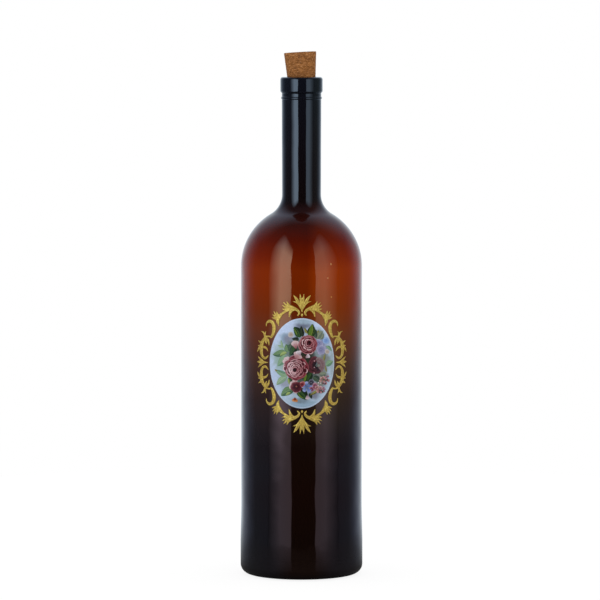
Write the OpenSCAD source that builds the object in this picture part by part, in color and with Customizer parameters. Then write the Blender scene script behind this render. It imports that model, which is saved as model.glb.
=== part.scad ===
// Genie bottle: a tall blown bottle, closed by a loose tapered cork and decorated
// with one oval medallion, a rose bouquet in a gilt scroll frame.
// The centre of the base is the origin, +Z is up and the medallion faces -Y.

/* [Bottle] */
// Height of the glass, from the base to the lip
bottle_h = 348.2; // [320:0.1:380]
// Diameter of the body
body_d = 84.6; // [80:0.2:92]
// Height at which the body ends and the round shoulder starts
body_h = 216.2; // [205:0.1:235]
// Wall of the glass
wall = 3.2; // [2.4:0.1:3.6]
// How much wider the heel is than the body, across
heel_flare = 1; // [0.6:0.1:2]
// Height of the straight heel
heel_h = 26; // [18:1:34]
// Height over which the heel draws in to the body
heel_blend = 22; // [12:1:30]
// Radius of the corner under the heel
heel_r = 6.8; // [5:0.2:8]

/* [Base] */
// Height of the push-up inside the base
punt_h = 18; // [12:1:24]
// Inner diameter of the flat ring that the bottle stands on
punt_d = 65.4; // [58:0.2:66]
// Radius where that ring turns up into the push-up
punt_r = 3; // [2:0.2:4]
// Glass over the push-up
base_t = 5; // [4:0.5:7]
// Glass under the corner of the inside
floor_t = 6; // [5:0.5:8]
// Radius of the corner of the inside
inner_heel_r = 5; // [4:0.5:7]

/* [Neck] */
// Diameter of the neck under its finish
neck_d = 27.6; // [26.4:0.2:28]
// How much narrower the neck is at its root, across
neck_taper = 0.4; // [0.1:0.1:1]
// Radius of the sweep from the shoulder into the neck
neck_sweep = 15.7; // [11:0.1:20]
// Diameter of the ring round the mouth
ring_d = 29.6; // [29:0.2:32]
// Height of the ring
ring_h = 11; // [8:0.5:14]
// Radius of the ring's upper edge
ring_top_r = 1.8; // [1:0.1:2.4]
// Radius of the ring's lower edge
ring_low_r = 1.4; // [0.6:0.1:2]
// Gap between the ring and the bead under it
groove_h = 2.6; // [1.6:0.1:4]
// Diameter of the bead
bead_d = 28.6; // [28.4:0.1:29]
// Height of the bead
bead_h = 2; // [1.4:0.1:3]
// Diameter of the mouth
mouth_d = 20; // [19:0.1:20.4]
// Depth of the straight mouth
mouth_h = 20; // [16:0.5:26]
// Radius of the lip's inner edge
lip_r = 1; // [0.6:0.1:1.4]

/* [Cork] */
// Diameter of the cork's top
cork_top_d = 22.6; // [22:0.1:24]
// Diameter of the cork's foot
cork_foot_d = 17.6; // [16.6:0.1:18.2]
// Length of the cork
cork_h = 32; // [26:0.5:38]
// Bevel round both ends of the cork
cork_bevel = 0.6; // [0.2:0.1:1]
// Lean of the cork in the mouth, in degrees
cork_tilt = 3.2; // [0:0.2:3.6]
// Clearance between the cork and the mouth where it seats
cork_fit = 0.13; // [0.12:0.01:0.3]

/* [Medallion] */
// Height of the medallion's centre above the base
medallion_z = 151.5; // [135:0.1:160]
// Width of the oval ground, measured round the body
oval_w = 46.8; // [45:0.2:50]
// Height of the oval ground
oval_h = 62.6; // [60:0.2:68]
// Height of the gilt palmette above the oval
crest_h = 16.7; // [15:0.1:18]
// Height of the longer palmette that hangs below it
low_crest_h = 17.7; // [15:0.1:18.6]
// How far the gilt chains reach out beside the oval, measured round the body
chain_w = 11.4; // [10.6:0.1:12]
// Height of the bouquet, from the tip of its crown to its lowest leaf
bouquet_h = 53.9; // [50:0.1:56]
// Gap between one printed film and what it lies on
film_gap = 0.02; // [0.01:0.01:0.04]
// Thickness of the ground
ground_t = 0.12; // [0.1:0.01:0.16]
// Thickness of each colour of the bouquet
colour_t = 0.08; // [0.06:0.01:0.1]
// Thickness of the gilding
gold_t = 0.25; // [0.15:0.01:0.35]
// Radius of the upper rose
upper_rose_r = 6.8; // [5:0.1:7.4]
// Radius of the lower rose
lower_rose_r = 8.7; // [6:0.1:9.4]
// Gap between the petals of one bloom
petal_gap = 0.3; // [0.2:0.05:0.5]
// Width of the line between the halves of a leaf
rib_gap = 0.2; // [0.1:0.05:0.4]

/* [Hidden] */

// Facets of the large and the small round shapes
$fn = 360;
bead_facets = 48;
// Points along each stretch of a drawn stroke, and along the edge of a petal
stroke_steps = 4;
petal_steps = 8;
oval_steps = 120;

body_r = body_d / 2;
heel_out_r = (body_d + heel_flare) / 2;
neck_r = neck_d / 2;
root_r = (neck_d - neck_taper) / 2;
ring_r = ring_d / 2;
mouth_r = mouth_d / 2;

// The shoulder is a half ball on the body, and the sweep is tangent to it and to the neck.
// Levels where two bands of the section meet are rounded to a micron, so both end alike.
function level(z) = round(z * 1000) / 1000;
sweep_x = root_r + neck_sweep;
sweep_z = level(body_h + sqrt(pow(body_r + neck_sweep, 2) - pow(sweep_x, 2)));
sweep_foot_z = level(body_h + (sweep_z - body_h) * body_r / (body_r + neck_sweep));

// The finish, downwards from the lip
ring_z = bottle_h - ring_h;
bead_z = ring_z - groove_h - bead_h / 2;
bead_rise = bead_d / 2 - neck_r;
bead_r = (pow(bead_h / 2, 2) + pow(bead_rise, 2)) / (2 * bead_rise);

// The push-up is part of a ball, tangent to the small radius inside the bearing ring
ring_in_r = punt_d / 2;
punt_ball_r = (pow(ring_in_r, 2) + pow(punt_h, 2) - 2 * punt_r * punt_h) / (2 * punt_h);
punt_ball_z = punt_h - punt_ball_r;
punt_share = punt_ball_r / (punt_ball_r + punt_r);
punt_edge = [ring_in_r * punt_share, punt_ball_z + (punt_r - punt_ball_z) * punt_share];

// The cork seats where its section fills the mouth under the rounded lip
seat_z = bottle_h - lip_r;
cork_slope = (cork_top_d - cork_foot_d) / cork_h;
cork_below = (mouth_d - 2 * cork_fit - cork_foot_d) / cork_slope;

// Radii on which the printed films lie
ground_r = body_r + film_gap;
leaf_r = ground_r + ground_t + film_gap;
blossom_r = leaf_r + colour_t + film_gap;
rose_r = blossom_r + colour_t + film_gap;

glass_colour = [0.3, 0.09, 0.03];
cork_colour = [0.76, 0.55, 0.36];
ground_colour = [0.7, 0.8, 0.93];
leaf_colour = [0.25, 0.45, 0.2];
blossom_colour = [0.5, 0.35, 0.62];
rose_colour = [0.75, 0.2, 0.3];
gold_colour = [0.8, 0.65, 0.25];

// Half section of the outside, in level bands that meet on a common edge
module outer_section() {
    // Heel, down to the flat ring and round into the push-up
    intersection() {
        translate([heel_out_r - heel_r, heel_r]) circle(r = heel_r);
        translate([heel_out_r - heel_r, 0]) square(heel_r);
    }
    square([heel_out_r - heel_r, heel_r]);
    translate([0, heel_r]) square([heel_out_r, heel_h - heel_r]);
    polygon([
        [0, heel_h], [heel_out_r, heel_h], [body_r, heel_h + heel_blend], [0, heel_h + heel_blend]
    ]);
    translate([0, heel_h + heel_blend]) square([body_r, body_h - heel_h - heel_blend]);
    // Shoulder
    intersection() {
        translate([0, body_h]) circle(r = body_r);
        translate([0, body_h]) square([body_r, sweep_foot_z - body_h]);
    }
    // Sweep into the neck
    difference() {
        translate([0, sweep_foot_z]) square([sweep_x, sweep_z - sweep_foot_z]);
        translate([sweep_x, sweep_z]) circle(r = neck_sweep);
    }
    // Neck, bead and ring
    polygon([[0, sweep_z], [root_r, sweep_z], [neck_r, ring_z - groove_h], [0, ring_z - groove_h]]);
    translate([0, ring_z - groove_h]) square([neck_r, groove_h]);
    intersection() {
        translate([neck_r + bead_rise - bead_r, bead_z]) circle(r = bead_r);
        translate([mouth_r, bead_z - bead_h / 2]) square([ring_r - mouth_r, bead_h]);
    }
    intersection() {
        translate([ring_r - ring_low_r, ring_z + ring_low_r]) circle(r = ring_low_r);
        translate([ring_r - ring_low_r, ring_z]) square(ring_low_r);
    }
    translate([0, ring_z]) square([ring_r - ring_low_r, ring_low_r]);
    translate([0, ring_z + ring_low_r]) square([ring_r, ring_h - ring_low_r - ring_top_r]);
    translate([0, bottle_h - ring_top_r]) square([ring_r - ring_top_r, ring_top_r]);
    intersection() {
        translate([ring_r - ring_top_r, bottle_h - ring_top_r]) circle(r = ring_top_r);
        translate([ring_r - ring_top_r, bottle_h - ring_top_r]) square(ring_top_r);
    }
}

// Half section of the push-up, with the small radius left standing inside the ring
module punt_section() {
    translate([0, punt_ball_z]) circle(r = punt_ball_r);
    difference() {
        polygon([[0, punt_edge[1]], punt_edge, [ring_in_r, punt_r], [ring_in_r, -1], [0, -1]]);
        translate([ring_in_r, punt_r]) circle(r = punt_r);
    }
}

// Half section of the inside, one wall in from the outside
module inner_section() {
    in_r = body_r - wall;
    in_sweep = neck_sweep + wall;
    in_foot_z = level(body_h + (sweep_z - body_h) * in_r / (in_r + in_sweep));
    mouth_z = bottle_h - mouth_h;
    difference() {
        union() {
            intersection() {
                translate([in_r - inner_heel_r, floor_t + inner_heel_r]) circle(r = inner_heel_r);
                translate([in_r - inner_heel_r, floor_t]) square(inner_heel_r);
            }
            translate([0, floor_t]) square([in_r - inner_heel_r, inner_heel_r]);
            translate([0, floor_t + inner_heel_r]) square([in_r, body_h - floor_t - inner_heel_r]);
            intersection() {
                translate([0, body_h]) circle(r = in_r);
                translate([0, body_h]) square([in_r, in_foot_z - body_h]);
            }
            difference() {
                translate([0, in_foot_z]) square([sweep_x, sweep_z - in_foot_z]);
                translate([sweep_x, sweep_z]) circle(r = in_sweep);
            }
            polygon([[0, sweep_z], [root_r - wall, sweep_z], [mouth_r, mouth_z], [0, mouth_z]]);
            translate([0, mouth_z]) square([mouth_r, mouth_h + 1]);
        }
        translate([0, punt_ball_z]) circle(r = punt_ball_r + base_t);
    }
    // Rounded edge of the lip
    difference() {
        translate([0, seat_z]) square([mouth_r + lip_r, lip_r + 1]);
        translate([mouth_r + lip_r, seat_z]) circle(r = lip_r);
    }
}

// Blown bottle: body, shoulder, neck and finish in one wall of glass
module glass_bottle() {
    color(glass_colour)
    rotate_extrude()
    intersection() {
        difference() {
            outer_section();
            punt_section();
            inner_section();
        }
        square([heel_out_r, bottle_h]);
    }
}

// Tapered cork, turned and bevelled, leaning a little in the mouth
module cork_stopper() {
    foot_r = cork_foot_d / 2;
    top_r = cork_top_d / 2;
    side = cork_slope / 2 * cork_bevel;
    color(cork_colour)
    translate([0, 0, seat_z])
    rotate([0, -cork_tilt, 0])
    translate([0, 0, -cork_below])
    rotate_extrude()
    polygon([
        [0, 0], [foot_r - cork_bevel, 0], [foot_r + side, cork_bevel],
        [top_r - side, cork_h - cork_bevel], [top_r - cork_bevel, cork_h], [0, cork_h]
    ]);
}

// Where a point of the flat print comes to lie, seen square on to the front
function wrapped(p) = [body_r * sin(p[0] / body_r * 180 / PI), p[1]];

// Smooth curve through hand-placed knots, each [across, up, half width]
function between(a, b, c, d, u) =
    b + (c - a) * u / 2 + (2 * a - 5 * b + 4 * c - d) * u * u / 2
    + (3 * b - a - 3 * c + d) * u * u * u / 2;
function with_ends(k) = concat([2 * k[0] - k[1]], k, [2 * k[len(k) - 1] - k[len(k) - 2]]);
function curve(knots) =
    let (k = with_ends(knots))
    concat(
        [for (i = [0 : len(k) - 4]) for (j = [0 : stroke_steps - 1])
            between(k[i], k[i + 1], k[i + 2], k[i + 3], j / stroke_steps)],
        [k[len(k) - 2]]
    );

// One edge of a stroke: its curve moved sideways by a share of its half width
function unit(v) = v / norm(v);
function heading(c, i) =
    let (a = c[max(i - 1, 0)], b = c[min(i + 1, len(c) - 1)]) unit([b[0] - a[0], b[1] - a[1]]);
function edge(c, side, gap) =
    [for (i = [0 : len(c) - 1])
        let (h = heading(c, i), w = side * (c[i][2] + gap))
        [c[i][0] - h[1] * w, c[i][1] + h[0] * w]];
function reversed(list) = [for (i = [len(list) - 1 : -1 : 0]) list[i]];

// A brush stroke of the gilding, placed on the print by its corner of the oval
module stroke(knots, origin) {
    c = curve(knots);
    outline = concat(edge(c, 1, 0), reversed(edge(c, -1, 0)));
    polygon([for (p = outline) wrapped(p + origin)]);
}

// Turns a flat outline into a film that lies on the body from radius r outwards
module film(r, thickness) {
    margin = oval_h;
    intersection() {
        translate([0, 0, medallion_z]) rotate([90, 0, 0]) linear_extrude(body_r + 2 * gold_t)
            children();
        translate([0, 0, medallion_z - margin]) difference() {
            cylinder(r = r + thickness, h = 2 * margin);
            translate([0, 0, -1]) cylinder(r = r, h = 2 * margin + 2);
        }
    }
}

// Pale ground of the medallion
module medallion_ground() {
    color(ground_colour)
    film(ground_r, ground_t)
    polygon([for (i = [0 : oval_steps - 1])
        let (a = 360 * i / oval_steps) wrapped([oval_w / 2 * cos(a), oval_h / 2 * sin(a)])]);
}

// Leaf in two halves with a bare rib between them
module leaf(root, tip, half_w, bend) {
    along = tip - root;
    middle = root + 0.45 * along + bend * [-along[1], along[0]];
    knots = [[root[0], root[1], 0.1], [middle[0], middle[1], half_w], [tip[0], tip[1], 0.1]];
    c = curve(knots);
    rib = [for (p = c) [p[0], p[1], 0]];
    for (side = [-1, 1]) {
        polygon([for (p = concat(edge(c, side, rib_gap / 2), reversed(edge(rib, side, rib_gap / 2))))
            wrapped(p)]);
    }
}

// Leaves of the bouquet as drawn: root, tip, half width and bend
leaves = [
    // Crown
    [[-1.8, 18.4], [-6.3, 25.8], 2.2, 0.1],
    [[-0.6, 18.6], [-0.7, 26], 1.1, -0.05],
    [[4.6, 19.4], [7.3, 28], 3, 0.1],
    [[9.8, 16], [15.6, 21.8], 2.1, -0.08],
    // Left spray
    [[-5.2, 11.4], [-9, 5.2], 1.9, 0.08],
    [[-9.6, 8.6], [-12.3, 13.5], 1.9, 0.08],
    [[-13.2, 10], [-21.4, 4.8], 1.9, 0.1],
    [[-13.4, 5], [-17.4, -1.6], 1.9, 0.1],
    [[-14.4, 11.4], [-15.5, 16.4], 0.8, 0.05],
    [[-11.2, -7.6], [-20.2, -4.2], 1.6, 0.1],
    [[-11.2, -9.6], [-19, -15.6], 2, -0.1],
    [[-8.6, -9.6], [-9.2, -14.9], 1.6, 0.05],
    // Foot
    [[-6.2, -17.8], [-14.8, -23.2], 2.4, -0.1],
    [[-2, -19.6], [4, -25.9], 2.8, 0.1],
    // Right spray
    [[6.9, -8], [3.9, -11.6], 1.2, 0.05],
    [[8, -10.4], [12.4, -13.4], 1.6, 0.1],
    [[12.3, -8.8], [17.7, -7.1], 1.4, -0.1],
    [[17.2, -2.8], [22, -0.4], 1.6, 0.1]
];

// The bouquet is drawn at about its real size, and bouquet_h sets how large it is printed
leaf_tips = [for (l = leaves) l[1][1]];
print_size = bouquet_h / (max(leaf_tips) - min(leaf_tips));

module leaf_print() {
    color(leaf_colour)
    film(leaf_r, colour_t) {
        for (l = leaves) leaf(print_size * l[0], print_size * l[1], print_size * l[2], l[3]);
    }
}

// Crescent petal: its inner edge follows a circle and its outer edge swells from it
function petal(c, r_in, r_out, from, to) =
    concat(
        [for (i = [0 : petal_steps])
            let (a = from + (to - from) * i / petal_steps,
                 r = r_in + (r_out - r_in) * sqrt(sin(180 * i / petal_steps)))
            c + r * [cos(a), sin(a)]],
        [for (i = [petal_steps - 1 : -1 : 1])
            let (a = from + (to - from) * i / petal_steps) c + r_in * [cos(a), sin(a)]]
    );
function disc(c, r) = [for (i = [0 : 15]) c + r * [cos(22.5 * i), sin(22.5 * i)]];

// Open rose: a heart and three rings of petals, each ring turned by half a petal
module rose(c, r, turn) {
    ring_petals = [3, 4, 5];
    heart_r = 0.2 * r;
    ring_w = (r - heart_r) / len(ring_petals);
    polygon([for (p = disc(c, heart_r)) wrapped(p)]);
    for (k = [0 : len(ring_petals) - 1]) {
        share = 360 / ring_petals[k];
        start_r = heart_r + k * ring_w + petal_gap;
        spare = petal_gap / start_r * 180 / PI / 2;
        for (i = [0 : ring_petals[k] - 1]) {
            from = turn + (i + k / 2) * share;
            polygon([for (p = petal(c, start_r, heart_r + (k + 1) * ring_w,
                                    from + spare, from + share - spare)) wrapped(p)]);
        }
    }
}

// Two open roses of the bouquet
module rose_print() {
    color(rose_colour)
    film(rose_r, colour_t) {
        rose(print_size * [4, 13.3], upper_rose_r, 20);
        rose(print_size * [-4.3, -3.2], lower_rose_r, 65);
    }
}

// Small flower: a round eye and five petals
module blossom(c, r, turn) {
    petals = 5;
    eye_r = 0.24 * r;
    spare = petal_gap / r * 180 / PI;
    polygon([for (p = disc(c, eye_r)) wrapped(p)]);
    for (i = [0 : petals - 1]) {
        from = turn + 360 / petals * i;
        polygon([for (p = petal(c, eye_r + petal_gap, r, from + spare, from + 360 / petals - spare))
            wrapped(p)]);
    }
}

// Small flowers and buds of the bouquet as drawn: centre, radius and turn
blossoms = [
    [[10, -1.4], 6.2, 30],
    [[-4.2, -15.3], 4.2, 18],
    [[3.8, -16.4], 2.9, 35],
    [[9, -15.4], 2.1, 15],
    [[12.4, -18.5], 2.1, 60],
    [[15.6, -12], 2.5, 25],
    [[-4.8, 13.2], 2.4, 40],
    [[-2.4, 7], 2.6, 60],
    [[13.7, 9.4], 3.6, 15],
    [[17.3, 15.4], 1.8, 5],
    [[-7.5, 19.9], 1.5, 20],
    [[-5.2, -24.9], 1.7, 30]
];

module blossom_print() {
    color(blossom_colour)
    film(blossom_r, colour_t) {
        for (b = blossoms) blossom(print_size * b[0], print_size * b[1], b[2]);
    }
}

// Tips of the strokes that set the size of the gilding: the drawn palmette and side leaf
palmette_tip = [1.3, 16.7, 0.15];
side_leaf_tip = [11.4, 0, 0.12];
gilt_size = crest_h / palmette_tip[1];
chain_size = chain_w / side_leaf_tip[0];

// A stroke of the crest, and one of the chains, at the real size of each
module gilt(knots, origin) {
    stroke(gilt_size * knots, origin);
}
module link(knots, origin) {
    stroke(chain_size * knots, origin);
}
function stretched(knots, by) = [for (k = knots) [for (i = [0 : 2]) k[i] * by[i]]];

// Palmette in the middle of a crest, from its stem upwards: right half, and stem
module palmette_half(tall) {
    top = [0, oval_h / 2];
    rise = [gilt_size, tall / palmette_tip[1], gilt_size];
    stroke(stretched([[0.2, 9, 0.9], [0.9, 13, 0.8], palmette_tip], rise), top);
    stroke(stretched([[0.3, 6.6, 0.8], [2.6, 11.1, 1.2], [4.4, 14, 0.9], [5.9, 15.9, 0.15]], rise), top);
    stroke(stretched([[0.6, 7.4, 0.7], [2.6, 9.9, 0.7], [4.2, 11.1, 0.5], [6.3, 11.6, 0.12]], rise), top);
}

// Gilding above the oval, drawn from the middle of its upper edge: right half
module crest_half() {
    top = [0, oval_h / 2];
    // Arm, from its curl beside the bead to its four leaves and its inner leaf
    gilt([[3, 1.9, 0.4], [2, 3.6, 0.8], [3.4, 5.7, 1], [6.8, 7.1, 1.5], [9.2, 8.6, 1.2],
          [10.6, 11.5, 0.15]], top);
    gilt([[7.8, 7, 1.2], [11, 8.9, 0.8], [13, 11, 0.12]], top);
    gilt([[7.4, 6.9, 1.2], [11.4, 7.5, 0.8], [13.9, 8.9, 0.12]], top);
    gilt([[8, 6.4, 1.1], [12, 5.9, 0.8], [14.1, 6.5, 0.12]], top);
    gilt([[5.6, 6.4, 1.1], [7.9, 4.7, 1.2], [9.1, 0.6, 0.15]], top);
    // Branch, and the five tips of its corner leaf
    gilt([[8.4, 6.4, 1], [13.4, 3.4, 0.9], [15.7, 1.2, 1.5], [17.4, -1.2, 1.6]], top);
    gilt([[15.8, 0.6, 1.3], [17.4, 2.4, 0.9], [18.1, 4.7, 0.12]], top);
    gilt([[16, 0.4, 1.4], [18.8, 2.2, 0.8], [20.3, 4.5, 0.12]], top);
    gilt([[16.2, 0, 1.4], [19.3, 1, 0.8], [21.3, 2.5, 0.12]], top);
    gilt([[16.4, -0.6, 1.4], [19.4, -0.4, 0.9], [21.8, 0.1, 0.12]], top);
    gilt([[16.8, 0.6, 1.5], [17.2, -2.4, 1.4], [16.4, -5.5, 0.15]], top);
}

module crest(tall) {
    bead_up = 2.2 * gilt_size;
    bead_size = 0.8 * gilt_size;
    for (side = [0, 1]) mirror([side, 0]) {
        crest_half();
        palmette_half(tall);
    }
    // Stem and heart of the palmette
    stroke(stretched([[0, 4.4, 0.4], [0, 6.2, 0.8], [0, 9.6, 1.9], [0, 14, 0.4]],
                     [gilt_size, tall / palmette_tip[1], gilt_size]), [0, oval_h / 2]);
    translate([0, oval_h / 2 + bead_up]) circle(r = bead_size, $fn = bead_facets);
}

module gold_crest_top() {
    color(gold_colour) film(ground_r, gold_t) crest(crest_h);
}

module gold_crest_bottom() {
    color(gold_colour) film(ground_r, gold_t) mirror([0, 1]) crest(low_crest_h);
}

// Gilding beside the oval, drawn from the end of its width: upper half of the right chain
module chain_half() {
    side = [oval_w / 2, 0];
    // C-scroll with its hook
    link([[3, 25.2, 0.3], [2.5, 27.4, 0.7], [0.3, 28.8, 1.1], [-2.1, 27.9, 1.3],
          [-3.3, 25.3, 1.5], [-3.2, 22.2, 1.4], [-2.1, 19.2, 1.1], [-1, 17.5, 0.7]], side);
    link([[-1.4, 17.7, 0.6], [0.8, 18.2, 0.6], [3.4, 17.6, 0.8]], side);
    // Forked leaf on the joint
    link([[3.4, 16.8, 0.7], [4.3, 19, 0.9], [5.6, 20.8, 0.6], [7.4, 21.5, 0.12]], side);
    link([[4.4, 18, 0.7], [3.8, 20.2, 0.5], [3.2, 21.6, 0.12]], side);
    // Stem that swings out and curls back to the oval
    link([[3, 18, 0.8], [5.1, 15.7, 1.2], [6.8, 12.9, 1.6], [7.4, 9.3, 1.6], [7.1, 5.8, 1.3],
          [5.8, 3.6, 1], [4, 2.9, 0.9], [2.5, 3.6, 0.7], [1.3, 4.9, 0.2]], side);
    // Lobed leaf and hook on its inner side
    link([[4.4, 16.4, 0.8], [2.2, 16, 1.1], [1, 14.4, 0.8], [0.6, 12, 0.15]], side);
    link([[4, 16, 0.8], [3.3, 14.4, 0.8], [2.5, 12.9, 0.15]], side);
    link([[7, 10.6, 1], [4.4, 10.5, 0.9], [2.7, 9.7, 0.7], [1.5, 7.9, 0.15]], side);
    // Leaves on its outer side
    link([[6, 13.6, 1.2], [8.4, 13.9, 0.8], [10.1, 14.8, 0.12]], side);
    link([[6.8, 11.8, 1.2], [8.8, 11.2, 0.8], [10.4, 11.4, 0.12]], side);
    link([[7, 10.2, 1.2], [9.6, 9.3, 0.9], [11.1, 6.9, 0.15]], side);
}

// Small palmette half way down the side of the oval
module chain_palmette() {
    side = [oval_w / 2, 0];
    link([[1.7, 0, 0.2], [4.8, 0, 0.9], [7.4, 0, 1.6]], side);
    link([[6, 0, 1.4], [9.2, 0, 1], side_leaf_tip], side);
    for (up = [0, 1]) mirror([0, up])
        link([[5.6, 0.2, 1], [8.1, 1.9, 0.9], [10.5, 3.9, 0.12]], side);
}

module chain() {
    chain_half();
    mirror([0, 1]) chain_half();
    chain_palmette();
}

module gold_chain_right() {
    color(gold_colour) film(ground_r, gold_t) chain();
}

module gold_chain_left() {
    color(gold_colour) film(ground_r, gold_t) mirror([1, 0]) chain();
}

glass_bottle();
cork_stopper();
medallion_ground();
leaf_print();
blossom_print();
rose_print();
gold_crest_top();
gold_crest_bottom();
gold_chain_left();
gold_chain_right();
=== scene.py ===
"""Genie bottle: a tall blown bottle with a sprayed colour fade, a loose tapered cork, and an oval
medallion on its front, a rose bouquet in a gilt scroll frame. Metres, +Z up, front on -Y."""
import math
import random

import bpy
from mathutils import Matrix, Vector, noise


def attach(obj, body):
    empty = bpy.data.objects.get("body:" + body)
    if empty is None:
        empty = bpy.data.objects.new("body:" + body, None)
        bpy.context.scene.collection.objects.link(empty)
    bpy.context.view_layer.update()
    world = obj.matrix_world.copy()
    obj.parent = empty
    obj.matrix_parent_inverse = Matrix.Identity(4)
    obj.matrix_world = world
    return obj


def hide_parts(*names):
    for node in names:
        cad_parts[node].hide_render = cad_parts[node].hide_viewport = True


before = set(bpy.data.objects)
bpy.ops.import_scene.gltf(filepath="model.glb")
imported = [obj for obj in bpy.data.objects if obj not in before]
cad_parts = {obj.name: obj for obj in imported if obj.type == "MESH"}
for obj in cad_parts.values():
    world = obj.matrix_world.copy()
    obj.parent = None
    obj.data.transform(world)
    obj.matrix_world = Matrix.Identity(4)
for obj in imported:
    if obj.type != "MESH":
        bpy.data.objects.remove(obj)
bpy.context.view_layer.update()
mm = 0.001


# The bottle: one wall of clear blown glass, from the push-up under the base to the lip.
# Its half section is laid out as a chain of points and spun round the axis, so the outside
# and the inside are one closed skin.
bottle_h = 348.2 * mm
body_r = 42.3 * mm
body_h = 216.2 * mm
wall = 3.2 * mm
heel_out_r = 42.8 * mm
heel_h = 26 * mm
heel_top = 24 * mm
heel_blend = 22 * mm
heel_r = 6.8 * mm
bearing_r = 32.7 * mm
bearing_turn = 3 * mm
punt_h = 18 * mm
base_t = 5 * mm
floor_z = 6 * mm
floor_r = 5 * mm
neck_r = 13.8 * mm
root_r = 13.6 * mm
neck_sweep = 15.7 * mm
ring_r = 14.8 * mm
ring_h = 11 * mm
ring_top_r = 1.8 * mm
ring_low_r = 1.4 * mm
groove_h = 2.6 * mm
groove_r = 0.5 * mm
bead_rise = 0.5 * mm
bead_h = 2 * mm
mouth_r = 10 * mm
mouth_h = 20 * mm
lip_r = 1 * mm
turn_steps = 180
weld_gap = 0.02 * mm


def deselect_all():
    """Nothing stays selected, so the next operator acts on its own piece alone."""
    if bpy.context.object and bpy.context.object.mode != "OBJECT":
        bpy.ops.object.mode_set(mode="OBJECT")
    bpy.ops.object.select_all(action="DESELECT")


def new_piece(name):
    """The primitive that was just added becomes the named piece and is left selected alone."""
    piece = bpy.context.object
    piece.name = name
    piece.data.name = name
    deselect_all()
    piece.select_set(True)
    bpy.context.view_layer.objects.active = piece
    return piece


def arc(centre, radius, start, end, steps):
    """Points (across, up) round an arc of the section, angles in degrees."""
    turn = [math.radians(start + (end - start) * i / steps) for i in range(steps + 1)]
    return [(centre[0] + radius * math.cos(a), centre[1] + radius * math.sin(a)) for a in turn]


def line(start, end, steps):
    """Points on a straight stretch of the section, without its first one."""
    return [
        (start[0] + (end[0] - start[0]) * i / steps, start[1] + (end[1] - start[1]) * i / steps)
        for i in range(1, steps + 1)
    ]


# The push-up is part of a ball that meets the small turn inside the bearing ring
punt_ball_r = (bearing_r**2 + punt_h**2 - 2 * bearing_turn * punt_h) / (2 * punt_h)
punt_ball_z = punt_h - punt_ball_r
punt_edge = math.degrees(math.atan2(bearing_turn - punt_ball_z, bearing_r))

# The round shoulder meets the sweep of the neck where both touch the same line
sweep_x = root_r + neck_sweep
sweep_z = body_h + math.sqrt((body_r + neck_sweep) ** 2 - sweep_x**2)
shoulder_end = math.degrees(math.atan2(sweep_z - body_h, sweep_x))

ring_z = bottle_h - ring_h
bead_z = ring_z - groove_h - bead_h / 2
bead_turn_r = ((bead_h / 2) ** 2 + bead_rise**2) / (2 * bead_rise)
bead_half = math.degrees(math.asin(bead_h / 2 / bead_turn_r))
bead_x = neck_r + bead_rise - bead_turn_r
dome_r = punt_ball_r + base_t
dome_edge = math.degrees(math.asin((floor_z - punt_ball_z) / dome_r))
inner_r = body_r - wall

outside = arc((0, punt_ball_z), punt_ball_r, 90, punt_edge, 20)
outside += arc((bearing_r, bearing_turn), bearing_turn, punt_edge - 180, -90, 6)[1:]
outside += arc((heel_out_r - heel_r, heel_r), heel_r, -90, 0, 14)
outside += line((heel_out_r, heel_r), (heel_out_r, heel_top), 4)
outside += line((heel_out_r, heel_top), (body_r, heel_h + heel_blend), 6)
outside += line((body_r, heel_h + heel_blend), (body_r, body_h), 24)
outside += arc((0, body_h), body_r, 0, shoulder_end, 26)[1:]
outside += arc((sweep_x, sweep_z), neck_sweep, 180 + shoulder_end, 180, 12)[1:]
outside += line((root_r, sweep_z), (neck_r, bead_z - bead_h / 2), 14)
outside += arc((bead_x, bead_z), bead_turn_r, -bead_half, bead_half, 8)[1:]
outside += arc((neck_r + groove_r, ring_z - groove_r), groove_r, 180, 90, 4)
outside += arc((ring_r - ring_low_r, ring_z + ring_low_r), ring_low_r, -90, 0, 6)
outside += arc((ring_r - ring_top_r, bottle_h - ring_top_r), ring_top_r, 0, 90, 8)

inside = arc((mouth_r + lip_r, bottle_h - lip_r), lip_r, 90, 180, 6)
inside += line((mouth_r, bottle_h - lip_r), (mouth_r, bottle_h - mouth_h), 4)
inside += line((mouth_r, bottle_h - mouth_h), (root_r - wall, sweep_z), 12)
inside += arc((sweep_x, sweep_z), neck_sweep + wall, 180, 180 + shoulder_end, 12)[1:]
inside += arc((0, body_h), inner_r, shoulder_end, 0, 26)[1:]
inside += line((inner_r, body_h), (inner_r, floor_z + floor_r), 28)
inside += arc((inner_r - floor_r, floor_z + floor_r), floor_r, 0, -90, 8)[1:]
inside += arc((0, punt_ball_z), dome_r, dome_edge, 90, 18)


def spun_piece(name, section, steps):
    """A closed piece: a chain of points (across, up) from axis to axis, spun round the axis."""
    deselect_all()
    bpy.ops.mesh.primitive_circle_add(vertices=len(section), radius=body_r)
    piece = new_piece(name)
    for vertex, (across, up) in zip(piece.data.vertices, section):
        vertex.co = (across, 0, up)
    # The circle's closing edge runs along the axis and goes, so that an open chain is spun
    closing = {0, len(section) - 1}
    for vertex in piece.data.vertices:
        vertex.select = vertex.index in closing
    for edge in piece.data.edges:
        edge.select = set(edge.vertices) == closing
    bpy.ops.object.mode_set(mode="EDIT")
    bpy.ops.mesh.select_mode(type="EDGE")
    bpy.ops.mesh.delete(type="EDGE_FACE")
    bpy.ops.mesh.select_all(action="SELECT")
    bpy.ops.mesh.spin(steps=steps, angle=math.tau, center=(0, 0, 0), axis=(0, 0, 1))
    bpy.ops.mesh.select_all(action="SELECT")
    bpy.ops.mesh.remove_doubles(threshold=weld_gap)
    bpy.ops.mesh.normals_make_consistent(inside=False)
    bpy.ops.object.mode_set(mode="OBJECT")
    return piece


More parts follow.
